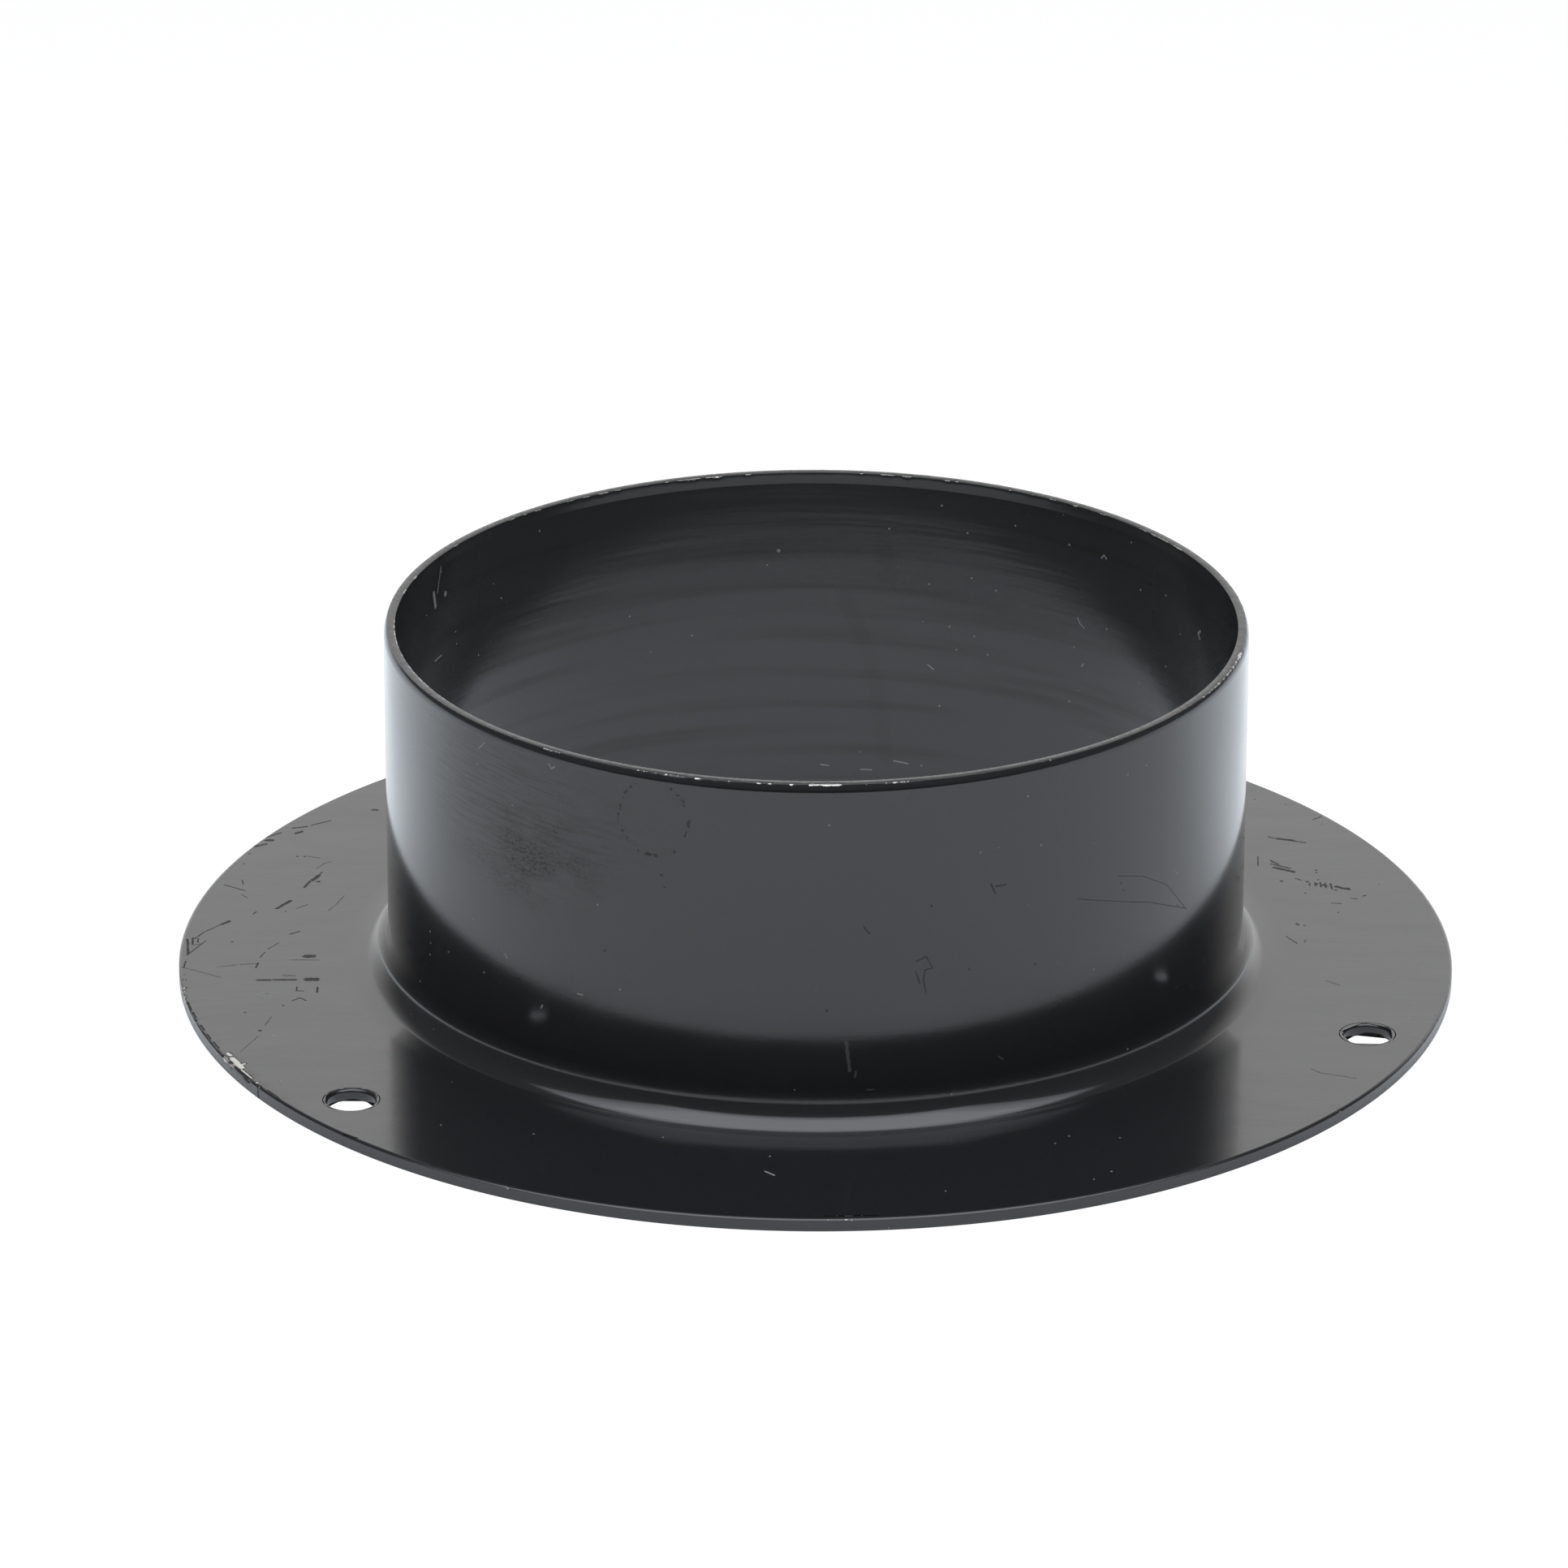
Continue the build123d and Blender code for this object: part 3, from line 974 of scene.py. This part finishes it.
def rim_paint():
    """Paint over the sheared rim: duller and greyer than on the wall, with the shear's slanted marks."""
    coat, place = painted("rim_paint", from_front, SEED)
    tree = coat.tree
    parts = add_node(tree, "ShaderNodeSeparateXYZ", {0: place}).outputs
    edge = COLLAR_RADIUS - RIM_ROLLOVER[1]
    sheared = rise(tree, parts["Z"], edge + 0.04, edge - 0.08)
    coat.cover(sheared, **SHEARED)
    slanted = vector_maths(tree, "ADD", place, maths(tree, "MULTIPLY", parts["Z"], 0.5))
    hatch = noise(tree, slanted, (4.0, 0.6, 0.6), SEED + 31, 2.0)
    coat.raise_by(maths(tree, "MULTIPLY", sheared, 0.02), hatch)
    dull = maths(tree, "MULTIPLY", sheared, rise(tree, hatch, 0.4, 0.65))
    coat.cover(maths(tree, "MULTIPLY", dull, 0.6), roughness=0.5)
    bare_steel(coat, place, SEED + 32)
    return coat.finish()


# Paint that has flaked off beside the flange's edge, in the part's own x and y
FLAKES = (
    (-67.1, -30.4, -66.8, -30.9, 0.22), (-66.5, -31.8, -65.3, -34.3, 0.32),
    (-65.9, -33.8, -65, -33.3, 0.13), (-65.3, -34.9, -64, -37.2, 0.1), (-63.3, -38.5, 0.16),
    (-63, -39.5, 0.1), (-73.3, -11.8, 0.16), (-73.2, -12.8, 0.12), (-73.1, -14.1, 0.15),
    (-73.4, -9.5, 0.1), (2.5, -73.6, 0.12), (3.4, -73.6, 4.1, -73.6, 0.12), (5.2, -73.5, 0.1),
)
BITES = (
    (-72.6, -15.8, -72.1, -18, 0.1), (-71.8, -18.8, -71.4, -20.2, 0.09), (-71.2, -21, 0.12),
    (-70.7, -22.4, -70.2, -23.8, 0.1), (-69.8, -25, -69.3, -26.4, 0.09), (-68.9, -27.2, -68.2, -29, 0.1),
    (-73.6, -4, -73.7, -6, 0.09), (-73.4, -8, 0.11), (-62, -40.5, -60.6, -42.6, 0.08),
    (71.6, -18.6, 0.09), (1, -73.6, 7, -73.4, 0.09),
)


def near_edge(given):
    """The marks that run on into the paint beside the flange's edge."""
    start = FLANGE_RADIUS - EDGE_MARGIN
    return [
        mark for mark in given
        if any(math.hypot(x, y) > start for x, y in zip(mark[:-1:2], mark[1:-1:2]))
    ]


def edge_paint():
    """Paint over the flange's sheared edge and round the punched holes."""
    coat, place = flange_base("edge_paint")
    tree = coat.tree
    height = add_node(tree, "ShaderNodeSeparateXYZ", {0: place}).outputs["Z"]
    sheared = rise(tree, height, SHEET - 0.05, SHEET - 0.3)
    coat.cover(sheared, roughness=0.26)
    grain = noise(tree, place, (2.5, 2.5, 1.0), SEED + 41, 2.0)
    coat.raise_by(maths(tree, "MULTIPLY", sheared, 0.015), grain)
    cracks = near_edge(LEFT_CRACKS + LEFT_BACK_CRACKS + RIGHT_CRACKS)
    coat.cover(marks(tree, place, cracks, SEED + 12), **CRACK)
    outlines = [(*places, half_width + 0.12) for *places, half_width in FLAKES]
    coat.cover(marks(tree, place, outlines, SEED + 43, 2.0), **CRACK)
    coat.cover(marks(tree, place, BITES, SEED + 44, 2.4), **CRACK)
    coat.cover(marks(tree, place, FLAKES, SEED + 45, 1.2), **STEEL)
    bare_steel(coat, place, SEED + 42)
    return coat.finish()


def under_paint():
    """The same paint on the underside, plain but for its grain and dust."""
    coat, _ = painted("under_paint", part_place, SEED + 50, waves=0.03)
    return coat.finish()


MATERIALS = {
    "front_flange_paint": front_flange_paint,
    "left_flange_paint": left_flange_paint,
    "left_back_flange_paint": left_back_flange_paint,
    "right_flange_paint": right_flange_paint,
    "wall_paint": wall_paint,
    "rim_paint": rim_paint,
    "bore_paint": bore_paint,
    "edge_paint": edge_paint,
    "under_paint": under_paint,
}


# The stage

FLOOR_DROP = 0.00003
TABLE_FRONT = -0.2
FLOOR_ALBEDO = 0.98
MIRRORED_WHITE = 0.2
MIRRORED_WHITE_BEHIND = 0.35
PALE_BLUE = (0.85, 1.0, 1.1, 1)


def floor_finish():
    """White to the camera with the part's soft shadow left in, and a pale table that ends in front."""
    material = bpy.data.materials.new("pale_table")
    material.use_nodes = True
    tree = material.node_tree
    tree.nodes.clear()
    place = add_node(tree, "ShaderNodeTexCoord").outputs["Object"]
    parts = add_node(tree, "ShaderNodeSeparateXYZ", {0: place}).outputs
    on_table = maths(tree, "GREATER_THAN", parts["Y"], TABLE_FRONT)
    beside = rise(tree, maths(tree, "ABSOLUTE", parts["X"]), 0.055, 0.075)
    behind = maths(tree, "MULTIPLY", beside, rise(tree, parts["Y"], -0.01, 0.04))
    albedo = maths(tree, "MULTIPLY", on_table, FLOOR_ALBEDO)
    lit = add_node(tree, "ShaderNodeBsdfDiffuse", {"Color": albedo})
    shade = add_node(tree, "ShaderNodeBsdfDiffuse", {"Color": (0.25, 0.25, 0.25, 1)})
    white = add_node(tree, "ShaderNodeEmission", {"Strength": 0.85})
    seen = add_node(tree, "ShaderNodeAddShader", {0: shade.outputs[0], 1: white.outputs[0]})
    rays = add_node(tree, "ShaderNodeLightPath").outputs
    mirror_ray = maths(tree, "MAXIMUM", rays["Is Glossy Ray"], rays["Is Transmission Ray"])
    white_share = maths(tree, "MULTIPLY_ADD", behind, MIRRORED_WHITE_BEHIND, MIRRORED_WHITE)
    glow = maths(tree, "MULTIPLY", maths(tree, "MULTIPLY", mirror_ray, on_table), white_share)
    pale = add_node(tree, "ShaderNodeEmission", {"Color": PALE_BLUE, "Strength": glow})
    mirrored = add_node(tree, "ShaderNodeAddShader", {0: lit.outputs[0], 1: pale.outputs[0]})
    values = {0: rays["Is Camera Ray"], 1: mirrored.outputs[0], 2: seen.outputs[0]}
    mixed = add_node(tree, "ShaderNodeMixShader", values)
    add_node(tree, "ShaderNodeOutputMaterial", {"Surface": mixed.outputs[0]})
    return material


def make_floor():
    """A large flat table top just under the part."""
    half = 6.0
    corners = [(-half, -half, 0), (half, -half, 0), (half, half, 0), (-half, half, 0)]
    mesh = bpy.data.meshes.new("table_top")
    mesh.from_pydata(corners, [], [(0, 1, 2, 3)])
    mesh.materials.append(floor_finish())
    floor = bpy.data.objects.new("table_top", mesh)
    floor.location.z = cad_low.z - FLOOR_DROP
    bpy.context.scene.collection.objects.link(floor)
    return floor


BACKDROP_LIGHT = 1.2
BACKDROP_TURN = math.radians(4)
BACKDROP_SIDES = (math.radians(22), math.radians(52))
BACKDROP_TOP = math.sin(math.radians(27))
ROOM_LIGHT = 0.1
ROOM_TOP = math.sin(math.radians(40))
DARK_ROOM = 0.15


def make_world():
    """White for the camera; reflections see a bright backdrop behind the part and a dark room in front."""
    world = bpy.data.worlds.new("studio")
    bpy.context.scene.world = world
    world.use_nodes = True
    tree = world.node_tree
    tree.nodes.clear()
    way = add_node(tree, "ShaderNodeTexCoord").outputs["Generated"]
    parts = add_node(tree, "ShaderNodeSeparateXYZ", {0: way}).outputs
    angle = maths(tree, "ARCTAN2", parts["X"], parts["Y"])
    aside = maths(tree, "ABSOLUTE", maths(tree, "SUBTRACT", angle, BACKDROP_TURN))
    behind = rise(tree, aside, *BACKDROP_SIDES, 1.0, 0.0)
    height = rise(tree, parts["Z"], BACKDROP_TOP, ROOM_TOP, BACKDROP_LIGHT, ROOM_LIGHT)
    room = maths(tree, "MULTIPLY_ADD", behind, height, DARK_ROOM)
    rays = add_node(tree, "ShaderNodeLightPath").outputs
    strength = blend(tree, rays["Is Camera Ray"], room, 1.0)
    values = {"Color": (1, 1, 1, 1), "Strength": strength}
    background = add_node(tree, "ShaderNodeBackground", values)
    add_node(tree, "ShaderNodeOutputWorld", {"Surface": background.outputs[0]})


# The softbox is brighter in its middle. Its panels: front, back, width, height and radiance
SOFTBOX_COLOUR = (0.96, 0.99, 1.05)
SOFTBOX_PANELS = (
    (-0.6, 0.08, 1.1, 0.62, 1.15),
    (-0.54, 0.06, 0.9, 0.61, 0.5),
    (-0.45, 0.0, 0.7, 0.6, 0.66),
)


def make_softbox():
    """One large soft lamp over the part, reaching further to the back than to the front."""
    for front, back, width, height, radiance in SOFTBOX_PANELS:
        lamp = bpy.data.lights.new("softbox", "AREA")
        lamp.shape = "RECTANGLE"
        lamp.size = width
        lamp.size_y = back - front
        lamp.color = SOFTBOX_COLOUR
        lamp.energy = 4 * lamp.size * lamp.size_y * radiance
        softbox = bpy.data.objects.new("softbox", lamp)
        softbox.location = (0, (front + back) / 2, height)
        softbox.visible_camera = False
        bpy.context.scene.collection.objects.link(softbox)


CAMERA_PLACE = (0, -1.00274, 0.43665)
CAMERA_TURN = -0.0037
CAMERA_TILT = 0.3917
CAMERA_ROLL = 0.0018
CAMERA_SENSOR = 36
CAMERA_LENS = 213.95


def make_camera():
    """The photograph's view: level with a point above the rim, looking down by its tilt."""
    data = bpy.data.cameras.new("camera")
    data.sensor_width = CAMERA_SENSOR
    data.lens = CAMERA_LENS
    data.clip_start = 0.05
    data.clip_end = 50
    camera = bpy.data.objects.new("camera", data)
    forward = Vector((
        math.sin(CAMERA_TURN) * math.cos(CAMERA_TILT),
        math.cos(CAMERA_TURN) * math.cos(CAMERA_TILT),
        -math.sin(CAMERA_TILT),
    ))
    level = forward.cross(Vector((0, 0, 1))).normalized()
    upright = level.cross(forward)
    right = math.cos(CAMERA_ROLL) * level + math.sin(CAMERA_ROLL) * upright
    up = right.cross(forward)
    turned = Matrix((right, up, -forward)).transposed().to_4x4()
    camera.matrix_world = Matrix.Translation(CAMERA_PLACE) @ turned
    bpy.context.scene.collection.objects.link(camera)
    bpy.context.scene.camera = camera


pressing = make_pressing()
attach(pressing, BODY)
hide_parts(NODE)
make_floor()
make_world()
make_softbox()
make_camera()
bpy.context.scene.view_settings.view_transform = "Standard"
